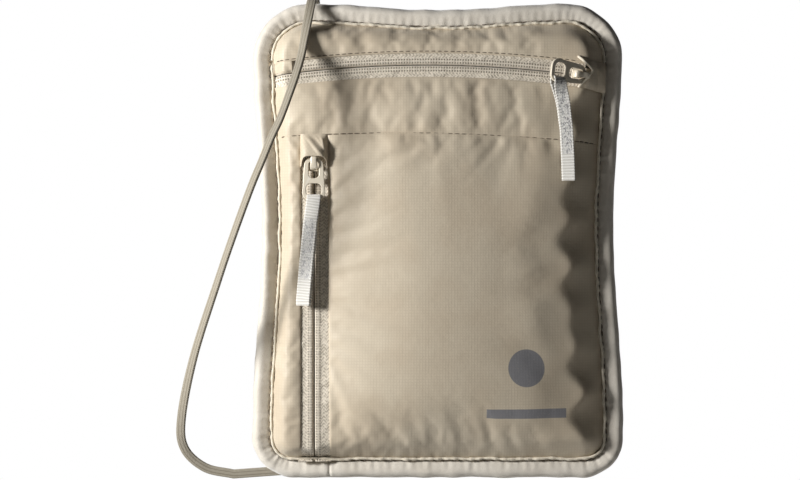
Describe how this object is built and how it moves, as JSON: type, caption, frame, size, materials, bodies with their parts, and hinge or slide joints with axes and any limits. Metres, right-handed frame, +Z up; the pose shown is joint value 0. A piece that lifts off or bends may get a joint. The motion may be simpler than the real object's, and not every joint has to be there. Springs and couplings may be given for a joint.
{
  "type": "neck pouch wallet",
  "caption": "Flat padded fabric pouch with a curved top zip, an upright side zip and an elastic neck cord, for carrying a passport and cards under clothing.",
  "frame": {"origin": "centre of the pouch on its flat back face", "axes": "+Y out of the back, towards the wearer's body; the zips face -Y; +Z up towards the cord anchors; +X to the right seen from the front"},
  "size_m": [0.1698, 0.0284, 0.1849],
  "materials": {
    "knit": "brushed knit with a short soft nap",
    "foam": "thin matt padding foam",
    "lining": "thin plain-woven nylon lining",
    "ripstop": "thin ripstop nylon with a low sheen",
    "tape": "woven herringbone zip tape",
    "piping": "folded bias tape",
    "coil": "nylon coil",
    "metal": "satin beige paint over die-cast zinc",
    "ribbon": "grosgrain ribbon with a grey woven stripe",
    "cord": "flat braided elastic",
    "print": "flat grey transfer print"
  },
  "bodies": {
    "pouch": {"back_panel": "knit", "edge_border": "knit", "cord_anchor_left": "knit", "cord_anchor_right": "knit", "back_padding": "foam", "back_lining": "lining", "divider_panel": "lining", "top_front_strip": "ripstop", "upper_band": "ripstop", "left_front_strip": "ripstop", "main_front_panel": "ripstop", "h_zip_end_tab": "ripstop", "h_zip_start_tab": "ripstop", "v_zip_hood": "ripstop", "h_zip_tape_upper": "tape", "h_zip_tape_lower": "tape", "v_zip_tape_left": "tape", "v_zip_tape_right": "tape", "edge_piping": "piping", "h_zip_coil_upper": "coil", "h_zip_coil_lower": "coil", "v_zip_coil_left": "coil", "v_zip_coil_right": "coil", "printed_disc": "print", "printed_bar": "print"},
    "h_slider": {"h_zip_slider": "metal"},
    "h_puller": {"h_zip_puller": "metal"},
    "h_ribbon": {"h_zip_ribbon": "ribbon"},
    "v_slider": {"v_zip_slider": "metal"},
    "v_puller": {"v_zip_puller": "metal"},
    "v_ribbon": {"v_zip_ribbon": "ribbon"},
    "cord": {"neck_cord": "cord"}
  },
  "joints": [
    {"name": "h_zip_run", "type": "hinge", "parent": "pouch", "child": "h_slider", "pos_m": [-0.004, 0, -0.364], "axis": [0, -1, 0], "range_deg": [0, 13.89]},
    {"name": "h_puller_lift", "type": "hinge", "parent": "h_slider", "child": "h_puller", "pos_m": [0.0544, -0.01515, 0.06202], "axis": [0.1349, 0, 0.9909], "range_deg": [-27, 60]},
    {"name": "h_ribbon_swing", "type": "hinge", "parent": "h_puller", "child": "h_ribbon", "pos_m": [0.04431, -0.02144, 0.05976], "axis": [0.831, 0.5446, -0.1131], "range_deg": [-80, 0]},
    {"name": "v_zip_run", "type": "slide", "parent": "pouch", "child": "v_slider", "axis": [0, 0, -1], "range_m": [0, 0.1035]},
    {"name": "v_puller_lift", "type": "hinge", "parent": "v_slider", "child": "v_puller", "pos_m": [-0.0467, -0.01515, 0.0304], "axis": [1, 0, 0], "range_deg": [-85, 0]},
    {"name": "v_ribbon_swing", "type": "hinge", "parent": "v_puller", "child": "v_ribbon", "pos_m": [-0.0467, -0.01515, 0.0157], "axis": [1, 0, 0], "range_deg": [-80, 0]},
    {"name": "cord_swing", "type": "hinge", "parent": "pouch", "child": "cord", "pos_m": [-0.0466, 0.0011, 0.0859], "axis": [0, 1, 0], "range_deg": [0, 10]}
  ]
}
